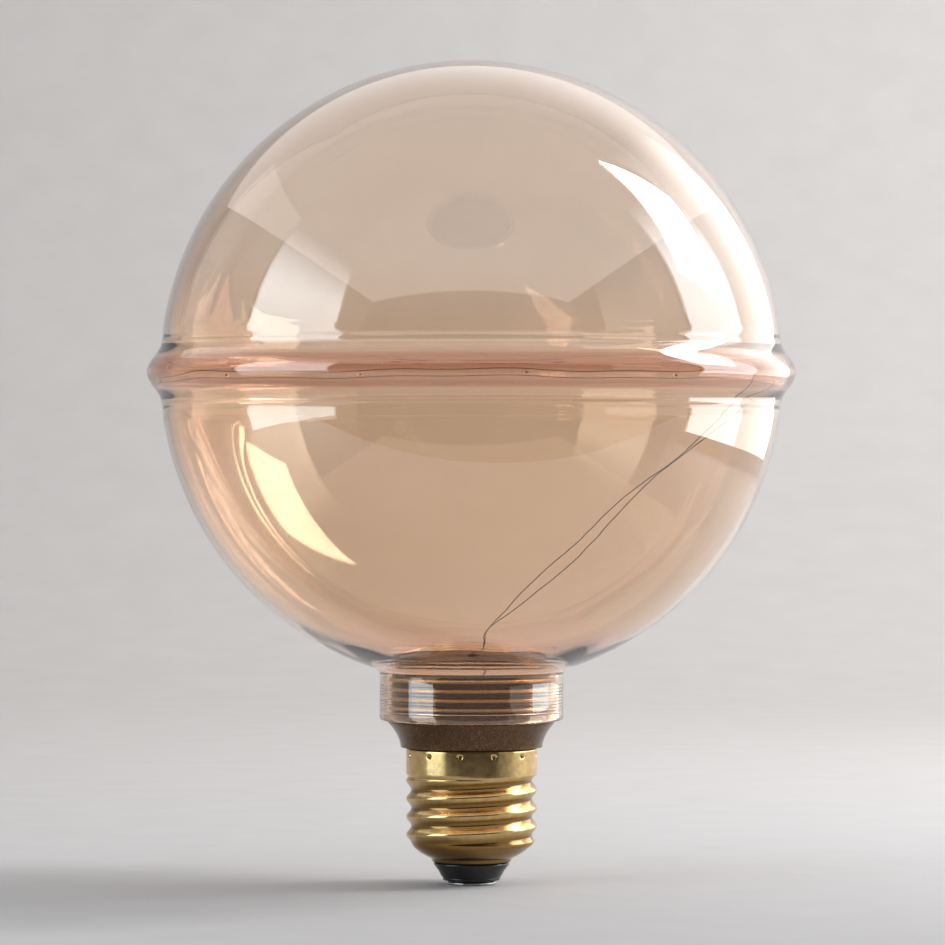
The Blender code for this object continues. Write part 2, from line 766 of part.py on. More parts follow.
chip_black = finish("chip_black", (0.015, 0.015, 0.016), 0.5)
ferrite = finish("ferrite", (0.05, 0.05, 0.05), 0.6)
resistor_green = finish("resistor_green", (0.08, 0.20, 0.13), 0.5)
white_ceramic = finish("white_ceramic", (0.75, 0.74, 0.70), 0.4)
red_sleeve = finish("red_sleeve", (0.35, 0.02, 0.02), 0.4)
black_sleeve = finish("black_sleeve", (0.02, 0.02, 0.02), 0.4)

make_globe()
make_screw_shell()
make_insulator()
make_contact()
make_holder()
make_neck_glue()
make_cover()
make_bush()
make_driver_board()
make_front_components()
make_inductor()
make_mains_wiring()
make_radio()
make_light_string()
make_micro_leds()
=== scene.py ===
# %% [markdown]
# A large unlit LED globe lamp: thin blown glass with a lustre coating, a hollow bead round its equator, a
# bronze holder, a brass screw cap and a string of very fine wires. The packed CAD model is the frame. Every
# finer piece made here takes its place from the CAD node that it stands for, so nothing has to be fitted.

# %% Load the frame
import math

import bmesh
import bpy
from mathutils import Matrix, Vector, noise


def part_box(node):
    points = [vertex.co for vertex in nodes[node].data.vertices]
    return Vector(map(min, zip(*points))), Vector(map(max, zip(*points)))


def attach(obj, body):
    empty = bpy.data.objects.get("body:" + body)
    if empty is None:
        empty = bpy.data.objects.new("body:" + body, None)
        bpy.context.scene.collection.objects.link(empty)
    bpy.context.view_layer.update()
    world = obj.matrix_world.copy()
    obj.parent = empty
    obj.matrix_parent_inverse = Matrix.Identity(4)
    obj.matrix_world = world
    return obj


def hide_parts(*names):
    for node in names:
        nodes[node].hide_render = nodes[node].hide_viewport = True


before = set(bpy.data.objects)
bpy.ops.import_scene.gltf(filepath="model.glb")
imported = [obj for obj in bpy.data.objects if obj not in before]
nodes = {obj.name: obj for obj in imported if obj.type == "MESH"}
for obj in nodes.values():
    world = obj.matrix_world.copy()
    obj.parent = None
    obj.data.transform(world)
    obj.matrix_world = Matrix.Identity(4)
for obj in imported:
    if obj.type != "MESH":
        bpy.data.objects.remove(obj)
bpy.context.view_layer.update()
BODY = "root"

# %% [markdown]
# The pieces meet each other at a few heights and radii. They are read once from the CAD boxes, and the glass
# sizes that a box can't show, such as the height of the bead and the wall, are named here.

# %% Key heights and radii
MM = 0.001


def corners(node):
    return (Vector(corner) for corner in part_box(node))


globe_low, globe_high = corners("glass_globe")
bead_height = 2.6 * MM
bead_half_width = 5.6 * MM
glass_wall = 1.2 * MM
foot_wall = 1.6 * MM
neck_wall = 1.4 * MM
neck_radius = 18.45 * MM
globe_radius = globe_high.x - bead_height
globe_middle = globe_high.z - globe_radius
neck_bottom = globe_low.z
neck_top = globe_middle - math.sqrt(globe_radius**2 - neck_radius**2)
neck_bore = neck_radius - neck_wall

shell_low, shell_high = corners("screw_shell")
cap_radius = shell_high.x
cap_rim = shell_high.z
holder_low, holder_high = corners("neck_holder")
insulator_low, insulator_high = corners("cap_insulator")
_, contact_high = corners("centre_contact")
cover_low, cover_high = corners("top_cover")
print("globe radius", round(globe_radius, 5), "middle", round(globe_middle, 5), "neck top", round(neck_top, 5))

# %% [markdown]
# Nearly every piece is round, so one helper sweeps an outline of (radius, height) points round the lamp's
# axis. It runs down the outer side and closes on itself unless both ends lie on the axis. A spun bmesh is used
# and not a Screw modifier, because some pieces are then reshaped point by point, as glass and thread are.


# %% A helper that turns an outline
def finished_mesh(name, work, sharp_degrees=35):
    mesh = bpy.data.meshes.new(name)
    work.to_mesh(mesh)
    work.free()
    mesh.shade_smooth()
    mesh.set_sharp_from_angle(angle=math.radians(sharp_degrees))
    piece = bpy.data.objects.new(name, mesh)
    bpy.context.scene.collection.objects.link(piece)
    return piece


def turned(name, outline, steps=128, closed=None, reshape=None, sharp_degrees=35):
    """Spin an outline of (radius, height) points about Z and return the mesh as an object."""
    if closed is None:
        closed = not (outline[0][0] == 0 and outline[-1][0] == 0)
    work = bmesh.new()
    line = [work.verts.new((radius, 0, height)) for radius, height in outline]
    edges = [work.edges.new(pair) for pair in zip(line, line[1:])]
    if closed:
        edges.append(work.edges.new((line[-1], line[0])))
    bmesh.ops.spin(work, geom=line + edges, cent=(0, 0, 0), axis=(0, 0, 1), dvec=(0, 0, 0),
                   angle=2 * math.pi, steps=steps)
    bmesh.ops.remove_doubles(work, verts=work.verts, dist=1e-7)
    if reshape:
        for vert in work.verts:
            vert.co = reshape(vert.co)
    bmesh.ops.recalc_face_normals(work, faces=work.faces)
    return finished_mesh(name, work, sharp_degrees)


def arc_points(middle, radius, start, end, count):
    """Points on an arc in the outline's plane; angles in degrees, 0 points outwards and 90 points up."""
    points = []
    for i in range(count + 1):
        angle = math.radians(start + (end - start) * i / count)
        points.append((middle[0] + radius * math.cos(angle), middle[1] + radius * math.sin(angle)))
    return points


print("an arc from 0 to 90 degrees ends at", [round(value, 3) for value in arc_points((0, 0), 1, 0, 90, 2)[-1]])

# %% [markdown]
# Each new piece rides on the lamp's only body and hides the CAD node that it stands for. One helper makes
# both calls, so no piece can miss one.


# %% A helper that puts a piece in its place
def stands_for(piece, slot, *cad_nodes):
    """The piece rides on the lamp and hides the CAD nodes that it replaces; the slot is not used."""
    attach(piece, BODY)
    if cad_nodes:
        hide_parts(*cad_nodes)
    faces = len(piece.data.polygons) if piece.type == "MESH" else 0
    print("made", piece.name, "with", faces, "faces")


print("the lamp's body is", BODY, "and it has", len(nodes), "CAD nodes")

# %% [markdown]
# A material is a Principled shader with a few texture nodes behind it. The class below holds the shader and
# has a short method for each job that recurs, such as a noise texture, a colour ramp or a Math node, so each
# finish reads as a recipe. Values that are the same all over the surface go straight into the shader's sockets.


# %% A helper for finishes
class Finish:
    """A new Principled material, with shorthand for adding nodes to it."""

    def __init__(self, name, **sockets):
        self.material = bpy.data.materials.new(name)
        self.material.use_nodes = True
        self.tree = self.material.node_tree
        self.shader = self.tree.nodes["Principled BSDF"]
        self.place = self.tree.nodes.new("ShaderNodeTexCoord").outputs["Object"]
        for socket, value in sockets.items():
            self.set(self.shader, socket.replace("_", " "), value)

    def set(self, node, socket, value):
        target = node.inputs[socket]
        if isinstance(value, bpy.types.NodeSocket):
            self.tree.links.new(value, target)
        elif isinstance(value, tuple) and len(value) == 3 and len(target.default_value) == 4:
            target.default_value = (*value, 1.0)
        else:
            target.default_value = value

    def add(self, kind, output=0, settings=None, **sockets):
        """Add a node, fill its sockets by name and return one of its outputs."""
        node = self.tree.nodes.new("ShaderNode" + kind)
        for key, value in (settings or {}).items():
            setattr(node, key, value)
        for socket, value in sockets.items():
            self.set(node, socket.replace("_", " "), value)
        return node.outputs[output]

    def maths(self, operation, *values):
        result = self.add("Math", 0, {"operation": operation})
        for number, value in enumerate(values):
            self.set(result.node, number, value)
        return result

    def mix(self, share, first, second):
        return self.add("MixRGB", 0, Fac=share, Color1=first, Color2=second)

    def height(self):
        return self.add("SeparateXYZ", 2, Vector=self.place)

    def from_axis(self):
        """The distance from the lamp's axis: the length of the place with its height taken out."""
        flat = self.add("VectorMath", 0, {"operation": "MULTIPLY"})
        self.set(flat.node, 0, self.place)
        self.set(flat.node, 1, (1, 1, 0))
        return self.add("VectorMath", "Value", {"operation": "LENGTH"}, Vector=flat)

    def grain(self, scale, detail=3.0):
        return self.add("TexNoise", 0, Vector=self.place, Scale=scale, Detail=detail)

    def between(self, share, low, high, from_low=0.3, from_high=0.7):
        """Map a texture's values from one range to another."""
        return self.add("MapRange", 0, Value=share, From_Min=from_low, From_Max=from_high,
                        To_Min=low, To_Max=high)

    def colours(self, share, *stops):
        """A colour ramp with stops of (position, colour)."""
        node = self.tree.nodes.new("ShaderNodeValToRGB")
        self.set(node, "Fac", share)
        ramp = node.color_ramp
        while len(ramp.elements) < len(stops):
            ramp.elements.new(0.5)
        for element, (position, colour) in zip(ramp.elements, stops):
            element.position = position
            element.color = (*colour, 1.0)
        return node.outputs["Color"]

    def two_tones(self, scale, first, second, detail=3.0):
        """Soft blotches of two colours that run into each other."""
        return self.colours(self.grain(scale, detail), (0.3, first), (0.7, second))

    def paint(self, colour):
        self.set(self.shader, "Base Color", colour)

    def gloss(self, scale, low, high, detail=3.0):
        """Let the roughness wander between two values."""
        self.set(self.shader, "Roughness", self.between(self.grain(scale, detail), low, high))

    def bump(self, height, distance, strength=1.0):
        raised = self.add("Bump", 0, Height=height, Distance=distance, Strength=strength)
        self.set(self.shader, "Normal", raised)

    def dress(self, *pieces):
        for piece in pieces:
            piece.data.materials.clear()
            piece.data.materials.append(self.material)

    def tell(self):
        print("mixed", self.material.name, "from", len(self.tree.nodes), "nodes")


print("a finish can", [name for name in vars(Finish) if not name.startswith("_")])

# %% [markdown]
# The glass has a metal oxide lustre: it tints what is seen through it to amber and throws back more light
# than plain glass. A tinted Principled glass with a raised index of refraction does both, and its colour
# counts once for every wall that the light passes. The film is paler on the crown, pinker in the foot and
# thickest in the bead, where it turns to salmon. Where the wall is seen edge on, a Layer Weight node paints
# the colour paler and then, right at the rim, greyer and darker: a painted shade for the globe's dark rim.

# %% Lustre glass
lustre_glass = Finish("lustre_glass", Metallic=0.03, Roughness=0.0, IOR=1.7, Transmission_Weight=1.0)
foot_film = (0.93, 0.70, 0.575)
bead_film = (0.80, 0.535, 0.40)
glass_height = lustre_glass.height()
above_middle = lustre_glass.maths("SUBTRACT", glass_height, globe_middle)
off_middle = lustre_glass.maths("ABSOLUTE", above_middle)
in_bead = lustre_glass.between(off_middle, 1.0, 0.0, 0.35 * bead_half_width, 0.85 * bead_half_width)
body_film = lustre_glass.two_tones(28, (0.905, 0.75, 0.605), (0.885, 0.725, 0.575), detail=2)
crown_film = lustre_glass.two_tones(22, (0.925, 0.825, 0.735), (0.91, 0.805, 0.71), detail=2)
in_crown = lustre_glass.between(above_middle, 0.0, 1.0, 0.0, 0.35 * globe_radius)
film = lustre_glass.mix(in_crown, body_film, crown_film)
above_neck = lustre_glass.between(glass_height, 0.0, 1.0, neck_top - 1.0 * MM, neck_top + 1.0 * MM)
near_neck = lustre_glass.between(glass_height, 1.0, 0.0, neck_top + 3.0 * MM, neck_top + 11.0 * MM)
in_foot = lustre_glass.maths("MULTIPLY", above_neck, near_neck)
footed = lustre_glass.mix(in_foot, film, foot_film)
beaded = lustre_glass.mix(in_bead, footed, bead_film)
facing = lustre_glass.add("LayerWeight", "Facing", Blend=0.5)
# painted shade: seen edge on, the glass colour turns paler and then grey and dark at the rim
rim_painted_shade = lustre_glass.colours(facing, (0.82, (0.95, 0.84, 0.78)), (0.95, (0.66, 0.56, 0.58)))
rim_shade_share = lustre_glass.between(facing, 0.0, 0.9, 0.5, 0.92)
lustre_glass.paint(lustre_glass.mix(rim_shade_share, beaded, rim_painted_shade))
lustre_glass.tell()

# %% [markdown]
# The globe is one blown piece: a thin sphere, a hollow bead at its equator, a foot where the wall thickens,
# and a straight neck with a fire-rounded lip. The outline is worked out from the sphere's angle, with the
# bead as a raised cosine and a slight waist on both sides of it. Fine rings in the neck's bore break up what
# is seen through it, as the marks of the forming tool do.


# %% Outline of the globe
def bead_rise(height):
    waist_half_width = 0.3 * bead_half_width
    waist_middle = bead_half_width + waist_half_width
    waist_depth = 0.07 * bead_height
    distance = abs(height)
    if distance < bead_half_width:
        return bead_height * (0.5 + 0.5 * math.cos(math.pi * distance / bead_half_width)) ** 0.85
    if distance < waist_middle + waist_half_width:
        share = (distance - waist_middle) / waist_half_width
        return -waist_depth * 0.5 * (1 + math.cos(math.pi * share))
    return 0.0


def globe_point(angle, radius):
    height = radius * math.cos(angle)
    return radius * math.sin(angle) + bead_rise(height), globe_middle + height


def globe_angles(lowest):
    """Angles from the crown down to the lowest one, closer together where the bead is."""
    dome_rows, bead_rows = 44, 56
    band = math.asin(1.6 * bead_half_width / globe_radius)
    dome = [(math.pi / 2 - band) * i / dome_rows for i in range(dome_rows + 1)]
    bead = [math.pi / 2 - band + 2 * band * i / bead_rows for i in range(1, bead_rows + 1)]
    start = math.pi / 2 + band
    lower = [start + (lowest - start) * i / dome_rows for i in range(1, dome_rows + 1)]
    return dome + bead + lower


def glass_outline():
    fillet = 0.9 * MM
    neck_angle = math.pi - math.asin((neck_radius + fillet) / globe_radius)
    outside = [globe_point(angle, globe_radius) for angle in globe_angles(neck_angle)]
    outside[0] = (0, globe_middle + globe_radius)
    foot_start = math.radians(143)
    inside = []
    for angle in globe_angles(math.pi - math.asin((neck_bore + 2 * MM) / globe_radius)):
        thicker = max(0.0, (angle - foot_start) / (neck_angle - foot_start))
        wall = glass_wall + (foot_wall - glass_wall) * thicker**2
        inside.append(globe_point(angle, globe_radius - wall))
    inside[0] = (0, globe_middle + globe_radius - glass_wall)
    lip = neck_wall / 2
    ring_low, ring_high = neck_bottom + 2 * lip, neck_top - 3 * fillet
    neck = arc_points((neck_radius + fillet, neck_top - fillet), fillet, 120, 180, 4)
    neck += [(neck_radius, ring_high), (neck_radius, ring_low)]
    neck += arc_points((neck_radius - lip, neck_bottom + lip), lip, 0, -180, 10)
    ring_pitch, ring_depth, ring_rows = 0.62 * MM, 0.022 * MM, 96
    for i in range(ring_rows + 1):
        height = ring_low + (ring_high - ring_low) * i / ring_rows
        neck.append((neck_bore + ring_depth * (0.5 + 0.5 * math.cos(2 * math.pi * height / ring_pitch)), height))
    neck += arc_points((neck_bore + 2 * fillet, neck_top - fillet), 2 * fillet, 180, 130, 4)
    return outside + neck + inside[::-1]


print("the globe's outline has", len(glass_outline()), "points")

# %% [markdown]
# Blown glass is never quite even. Two slow noises move the points of the wall in and out by a few hundredths
# of a millimetre, and near the foot a noise that is long around the lamp and short up it draws out streaks.


# %% Globe of blown glass
def rippled(place):
    """Move a point of the glass a little towards or away from the frame's origin."""
    if place.z < neck_top:
        return place
    slow = noise.noise(place * 22 + Vector((3, 1, 7)))
    slower = noise.noise(place * 9)
    from_middle = (place - Vector((0, 0, globe_middle))).length
    layer = 5.0 if from_middle > globe_radius - 0.5 * MM else 9.0
    near_foot = min(1.0, max(0.0, (neck_top + 20 * MM - place.z) / (12 * MM)))
    streak = noise.noise(Vector((2.6 * math.atan2(place.y, place.x), place.z * 190, layer)))
    return place * (0.9996 + 0.0006 * slow + 0.0008 * slower + 0.0022 * near_foot * streak)


glass_globe = turned("glass_globe_blown", glass_outline(), steps=192, reshape=rippled, sharp_degrees=60)
lustre_glass.dress(glass_globe)
stands_for(glass_globe, "lustre_glass", "glass_globe")

# %% [markdown]
# Brass is a metal, so its colour is the colour of its reflections. The crests of the thread are rubbed bright,
# and the valleys and the cone below them are painted darker, a painted shade in the thread's hollows: the
# distance from the axis, times a fine tarnish, mixes the two.

# %% Drawn brass
brass = Finish("drawn_brass", Metallic=1.0, Roughness=0.24)
on_thread_crest = brass.between(brass.from_axis(), 0.0, 1.0, cap_radius - 1.0 * MM, cap_radius)
tarnish = brass.between(brass.grain(900, 5), 0.6, 1.0)
crest_wear_and_valley_shade = brass.maths("MULTIPLY", on_thread_crest, tarnish)
# painted shade: the valleys and the cone are painted dark brown brass, and the rubbed crests stay bright
brass.paint(brass.colours(crest_wear_and_valley_shade, (0.0, (0.29, 0.17, 0.055)), (0.6, (0.60, 0.41, 0.17)),
                          (1.0, (0.78, 0.57, 0.26))))
brass.gloss(400, 0.13, 0.20, detail=4)
brass.bump(brass.grain(4500, 2), 0.00001, 0.5)
brass.tell()

# %% [markdown]
# The screw shell is drawn from thin sheet, so it is one curved surface. Its turned outline is a plain collar,
# a straight root that the thread will rise from, and a rounded cone down to the mouth, drawn as a quadratic
# curve between three points.

# %% Outline of the screw shell
thread_pitch = 3.629 * MM
thread_depth = 1.0 * MM
collar_bottom = cap_rim - 5.2 * MM
thread_runout = 0.7 * MM
shoulder = 8.6 * MM
mouth_radius = 7.9 * MM


def shell_outline():
    root = cap_radius - thread_depth
    rim = 0.35 * MM
    collar_middle = cap_rim - 2.5 * MM
    rows = arc_points((cap_radius - rim, cap_rim - rim), rim, 90, 0, 4)
    rows += [(cap_radius, cap_rim - rim - i * 0.16 * MM) for i in range(1, 13)]
    rows += [(cap_radius, collar_middle + (collar_bottom - collar_middle) * i / 8) for i in range(9)]
    rows += [(root + (cap_radius - root) * 0.5 * (1 + math.cos(math.pi * i / 5)),
              collar_bottom - thread_runout * i / 5) for i in range(1, 5)]
    thread_top = collar_bottom - thread_runout
    thread_rows, cone_rows = 96, 24
    rows += [(root, thread_top + (shoulder - thread_top) * i / thread_rows) for i in range(thread_rows + 1)]
    start, bend = Vector((root, shoulder)), Vector((root - 0.3 * MM, shoulder - 1.7 * MM))
    end = Vector((mouth_radius + 0.25 * MM, shell_low.z + 0.75 * MM))
    for i in range(1, cone_rows + 1):
        share = i / cone_rows
        rows.append(tuple(start * (1 - share) ** 2 + bend * 2 * share * (1 - share) + end * share**2))
    rows += [(mouth_radius + 0.05 * MM, shell_low.z + 0.45 * MM), (mouth_radius, shell_low.z + 0.1 * MM)]
    return rows


print("the shell's outline has", len(shell_outline()), "points")

# %% [markdown]
# A cosine ridge that climbs one pitch a turn gives the round E27 thread, and it fades out at both ends. A
# dozen punch marks under the rim lock the shell to the holder. Solidify then gives the sheet its thickness.

# %% Screw shell
stake_count = 12
stake_radius = 0.5 * MM
stake_depth = 0.6 * MM
stake_height = cap_rim - 1.3 * MM
first_stake = -100
thread_end, thread_fade = 7.2 * MM, 2.4 * MM
crest_height = 9.9 * MM


def threaded(place):
    """Lift the thread out of the root and press the punch marks in."""
    radius = math.hypot(place.x, place.y)
    turn = math.atan2(place.y, place.x) % (2 * math.pi)
    rise = 0.0
    if place.z < collar_bottom:
        fade = min(1.0, max(0.0, (place.z - thread_end) / thread_fade))
        fade *= min(1.0, (collar_bottom - place.z) / thread_runout)
        phase = (place.z - crest_height) / thread_pitch - (turn - math.pi) / (2 * math.pi)
        wave = 0.5 * (1 + math.cos(2 * math.pi * phase))
        room = cap_radius - radius
        rise = min(thread_depth * fade * wave, max(room, 0.0) * wave + 1e-9)
    for number in range(stake_count):
        angle = math.radians(first_stake + 360 * number / stake_count)
        across = radius * abs((turn - angle + math.pi) % (2 * math.pi) - math.pi)
        away = math.hypot(across, place.z - stake_height)
        if away < stake_radius:
            rise -= stake_depth * (0.5 + 0.5 * math.cos(math.pi * away / stake_radius)) ** 0.6
    return Vector((place.x * (1 + rise / radius), place.y * (1 + rise / radius), place.z))


screw_shell = turned("screw_shell_drawn", shell_outline(), steps=360, closed=False, reshape=threaded,
                     sharp_degrees=50)
outward = sum(face.normal.x * face.center.x + face.normal.y * face.center.y
              for face in screw_shell.data.polygons)
if outward < 0:
    screw_shell.data.flip_normals()
sheet = screw_shell.modifiers.new("Sheet", "SOLIDIFY")
sheet.thickness = 0.35 * MM
sheet.offset = -1
brass.dress(screw_shell)
stands_for(screw_shell, "brass", "screw_shell")

# %% [markdown]
# The holder is injection moulded in plastic with bronze flakes: satin, brown and faintly sparkling. A Voronoi
# texture with cells of about a tenth of a millimetre gives each flake its own brightness. The sleeve under
# the glass has painted light: its valleys are painted nearly black as painted shade, and its rib crests are
# painted bright bronze as painted highlights, so the finish asks how far from the axis and how high a point
# lies.

# %% Bronze flake plastic
rib_crest = neck_bore - 0.4 * MM
rib_root = rib_crest - 0.7 * MM
rib_height = rib_crest - rib_root
ledge = neck_bottom + 0.1 * MM
bronze = Finish("bronze_flake_plastic", Metallic=0.85, Roughness=0.3)
flake_colour = bronze.add("TexVoronoi", "Color", Vector=bronze.place, Scale=11000.0)
flake = bronze.add("SeparateColor", 0, Color=flake_colour)
skirt_tone = bronze.colours(flake, (0.0, (0.080, 0.042, 0.020)), (0.8, (0.115, 0.064, 0.033)),
                            (1.0, (0.42, 0.28, 0.15)))
# painted shade: the sleeve's valleys are painted nearly black
valley_painted_shade = bronze.colours(flake, (0.0, (0.022, 0.009, 0.003)), (0.8, (0.040, 0.018, 0.006)),
                             (1.0, (0.30, 0.17, 0.06)))
# painted highlight: the sleeve's rib crests are painted bright bronze
crest_painted_highlight = bronze.colours(flake, (0.0, (0.42, 0.27, 0.12)), (1.0, (0.90, 0.66, 0.36)))
on_rib = bronze.between(bronze.from_axis(), 0.0, 1.0, rib_root + 0.1 * rib_height, rib_root + 0.8 * rib_height)
on_sleeve = bronze.between(bronze.height(), 0.0, 1.0, ledge, ledge + 0.4 * MM)
sleeve_painted_light = bronze.mix(on_rib, valley_painted_shade, crest_painted_highlight)
bronze.paint(bronze.mix(on_sleeve, skirt_tone, sleeve_painted_light))
bronze.gloss(500, 0.18, 0.27)
bronze.bump(bronze.grain(6000, 2), 0.00001, 0.25)
bronze.tell()

# %% [markdown]
# The holder's outline has round ribs on the sleeve, a ledge under the glass, a hollow skirt down to the cap
# and a spigot inside the shell. Very fine rings cover the sleeve, as a turned mould leaves them.

# %% Outline of the holder
rib_count = 4
rib_pitch = 1.87 * MM
holder_wall = 1.4 * MM
shoulder_radius = holder_high.x
cover_bore = rib_root - 0.7 * holder_wall
cup_bore = rib_root - 2 * holder_wall
spigot_radius = cap_radius - 0.75 * MM


def sleeve_points(top, rows=150, ring_pitch=0.42 * MM, ring_depth=0.012 * MM):
    first_rib = 1.1
    start = top - 0.3 * MM
    points = []
    for i in range(1, rows):
        height = start + (ledge - start) * i / rows
        number = max(0, min(rib_count - 1, round((top - height) / rib_pitch - first_rib)))
        swing = (height - top + (first_rib + number) * rib_pitch) / (0.30 * rib_pitch)
        rise = rib_height * math.cos(swing * math.pi / 2) ** 0.7 if abs(swing) < 1 else 0.0
        ring = ring_depth * (0.5 + 0.5 * math.cos(2 * math.pi * height / ring_pitch))
        points.append((rib_root + rise - ring, height))
    return points


def skirt_points(rows=14):
    top, bottom = ledge - 0.4 * MM, cap_rim + 0.15 * MM
    foot = cap_radius + 1.1 * MM
    shares = [i / rows for i in range(1, rows + 1)]
    return [(foot + (shoulder_radius - foot) * (1 - share) ** 1.8, top + share * (bottom - top))
            for share in shares] + [(spigot_radius, bottom)]


def holder_outline():
    top = holder_high.z
    edge = 0.2 * MM
    funnel = cap_rim + 0.4 * (ledge - cap_rim)
    bore = spigot_radius - holder_wall
    plate_seat = cover_low.z - 0.2 * MM
    points = arc_points((rib_root - edge, top - edge), edge, 90, 0, 3) + sleeve_points(top)
    points += [(rib_root, ledge), (shoulder_radius - 0.15 * MM, ledge)]
    points += arc_points((shoulder_radius - edge, ledge - 0.3 * MM), edge, 60, -20, 3) + skirt_points()
    points += [(spigot_radius, holder_low.z), (bore, holder_low.z), (bore, funnel), (cup_bore, ledge)]
    points += [(cup_bore, plate_seat), (cover_bore, plate_seat), (cover_bore, top)]
    return points


print("the holder's outline has", len(holder_outline()), "points")

# %% [markdown]
# The mould leaves a notch in the sleeve's rim. A block cuts it with a Boolean modifier, which is applied by
# reading the evaluated mesh, and the block is thrown away.

# %% Bronze holder
notch_size = (6 * MM, 5.6 * MM, 3.2 * MM)
notch_degrees = -65
neck_holder = turned("neck_holder_moulded", holder_outline(), steps=160, sharp_degrees=40)
notch_work = bmesh.new()
bmesh.ops.create_cube(notch_work, size=1.0)
notch_turn = Matrix.Rotation(math.radians(notch_degrees), 4, "Z")
notch_place = notch_turn @ Matrix.Translation((0, -(rib_root + cover_bore) / 2, holder_high.z))
bmesh.ops.scale(notch_work, vec=notch_size, verts=notch_work.verts)
bmesh.ops.transform(notch_work, matrix=notch_place, verts=notch_work.verts)
notch = finished_mesh("notch_block", notch_work)
notch_cut = neck_holder.modifiers.new("Notch", "BOOLEAN")
notch_cut.object = notch
bpy.context.view_layer.update()
holder_graph = bpy.context.evaluated_depsgraph_get()
cut_mesh = bpy.data.meshes.new_from_object(neck_holder.evaluated_get(holder_graph))
neck_holder.modifiers.clear()
neck_holder.data = cut_mesh
bpy.data.objects.remove(notch)
bronze.dress(neck_holder)
stands_for(neck_holder, "bronze_plastic", "neck_holder")

# %% [markdown]
# The plate that closes the sleeve is plain taupe plastic with a fine moulded grain. It has a soft edge and a
# shallow dish round the wire hole, and it is seen from above through the foot of the globe.

# %% Top plate
taupe = Finish("taupe_plastic", Roughness=0.5)
taupe.paint(taupe.two_tones(700, (0.17, 0.115, 0.085), (0.20, 0.14, 0.105)))
taupe.bump(taupe.grain(4000, 2), 0.00003, 0.5)
plate_rim = cover_high.x
plate_hole = 0.95 * MM
plate_edge = 0.4 * MM
dish_floor = cover_high.z - 0.25 * MM
plate_outline = [(plate_hole, dish_floor), (2.6 * MM, dish_floor), (3.0 * MM, cover_high.z)]
plate_outline += arc_points((plate_rim - plate_edge, cover_high.z - plate_edge), plate_edge, 90, 0, 6)
plate_outline += [(plate_rim, cover_low.z), (plate_hole, cover_low.z)]
top_plate = turned("top_plate", plate_outline, steps=128)
taupe.dress(top_plate)
stands_for(top_plate, "taupe_plastic", "top_cover")

# %% [markdown]
# A small bush of dark rubber fills the plate's hole and lets the wires through. It is a tube with a rolled
# top edge.

# %% Wire bush
dark_rubber = Finish("dark_rubber", Roughness=0.6)
dark_rubber.paint(dark_rubber.two_tones(1500, (0.012, 0.009, 0.008), (0.028, 0.022, 0.018)))
bush_low, bush_high = corners("wire_bush")
bush_roll = 0.25 * MM
bush_stem, bush_bore = 0.75 * MM, 0.4 * MM
bush_outline = arc_points((bush_high.x - bush_roll, bush_high.z - bush_roll), bush_roll, 90, -60, 8)
bush_outline += [(bush_stem, bush_high.z - 0.5 * MM), (bush_stem, bush_low.z), (bush_bore, bush_low.z),
                 (bush_bore, bush_high.z - 0.1 * MM)]
wire_bush = turned("wire_bush_moulded", bush_outline, steps=48)
dark_rubber.dress(wire_bush)
stands_for(wire_bush, "dark_rubber", "wire_bush")

# %% [markdown]
# A ring of clear glue holds the glass on the holder. Glue wets both walls, so its top is a hollow meniscus.
# It is not quite clear or smooth: its tint, gloss and surface wander a little.

# %% Clear glue
clear_glue = Finish("clear_glue", Roughness=0.05, IOR=1.45, Transmission_Weight=1.0)
clear_glue.paint(clear_glue.two_tones(600, (0.97, 0.95, 0.91), (0.91, 0.88, 0.82)))
clear_glue.gloss(250, 0.0, 0.05)
clear_glue.bump(clear_glue.grain(900, 2), 0.00001, 0.3)
glue_low, glue_high = corners("neck_glue")
glue_inside = rib_root + 0.05 * MM
glue_middle = (glue_high.x + rib_root) / 2
glue_outline = [(glue_high.x, glue_high.z), (glue_high.x, glue_low.z), (glue_inside, glue_low.z),
                (glue_inside, glue_high.z), (glue_middle, glue_high.z - 0.2 * MM)]
neck_glue = turned("neck_glue_ring", glue_outline, steps=128)
clear_glue.dress(neck_glue)
stands_for(neck_glue, "clear_glue", "neck_glue")

# %% [markdown]
# The insulator is black glass, cast between the shell and the contact, glossy with faint flow marks. It is a
# solid cone with a rounded tip and a hole for the contact.

# %% Black insulator
black_glass = Finish("black_cast_glass", Roughness=0.12, IOR=1.55)
black_glass.paint(black_glass.two_tones(300, (0.004, 0.004, 0.004), (0.012, 0.011, 0.010)))
black_glass.gloss(900, 0.10, 0.28, detail=4)
black_glass.bump(black_glass.grain(700, 3), 0.00006, 0.5)
tip_radius = 5.7 * MM
waist_radius = 7.25 * MM
pin_hole = 1.4 * MM
mouth_height = shell_low.z + 0.1 * MM
insulator_outline = [(insulator_high.x, insulator_high.z), (insulator_high.x, mouth_height + 2.0 * MM),
                     (waist_radius, mouth_height + 0.9 * MM), (waist_radius, mouth_height - 0.1 * MM)]
insulator_outline += arc_points((waist_radius, mouth_height - 0.5 * MM), 0.35 * MM, 80, -25, 5)
insulator_outline += [(6.6 * MM, mouth_height - 1.9 * MM), (6.15 * MM, insulator_low.z + 1.0 * MM)]
insulator_outline += arc_points((tip_radius - 0.3 * MM, insulator_low.z + 0.4 * MM), 0.4 * MM, 20, -90, 6)
insulator_outline += [(pin_hole, insulator_low.z), (pin_hole, insulator_high.z)]
cap_insulator = turned("cap_insulator_cast", insulator_outline, steps=128)
black_glass.dress(cap_insulator)
stands_for(cap_insulator, "black_insulator", "cap_insulator")

# %% [markdown]
# The contact is a tinned rivet. Its head has a rounded edge, a flat to stand on with a shallow hollow in it,
# and turning marks, which a wave texture in rings gives.

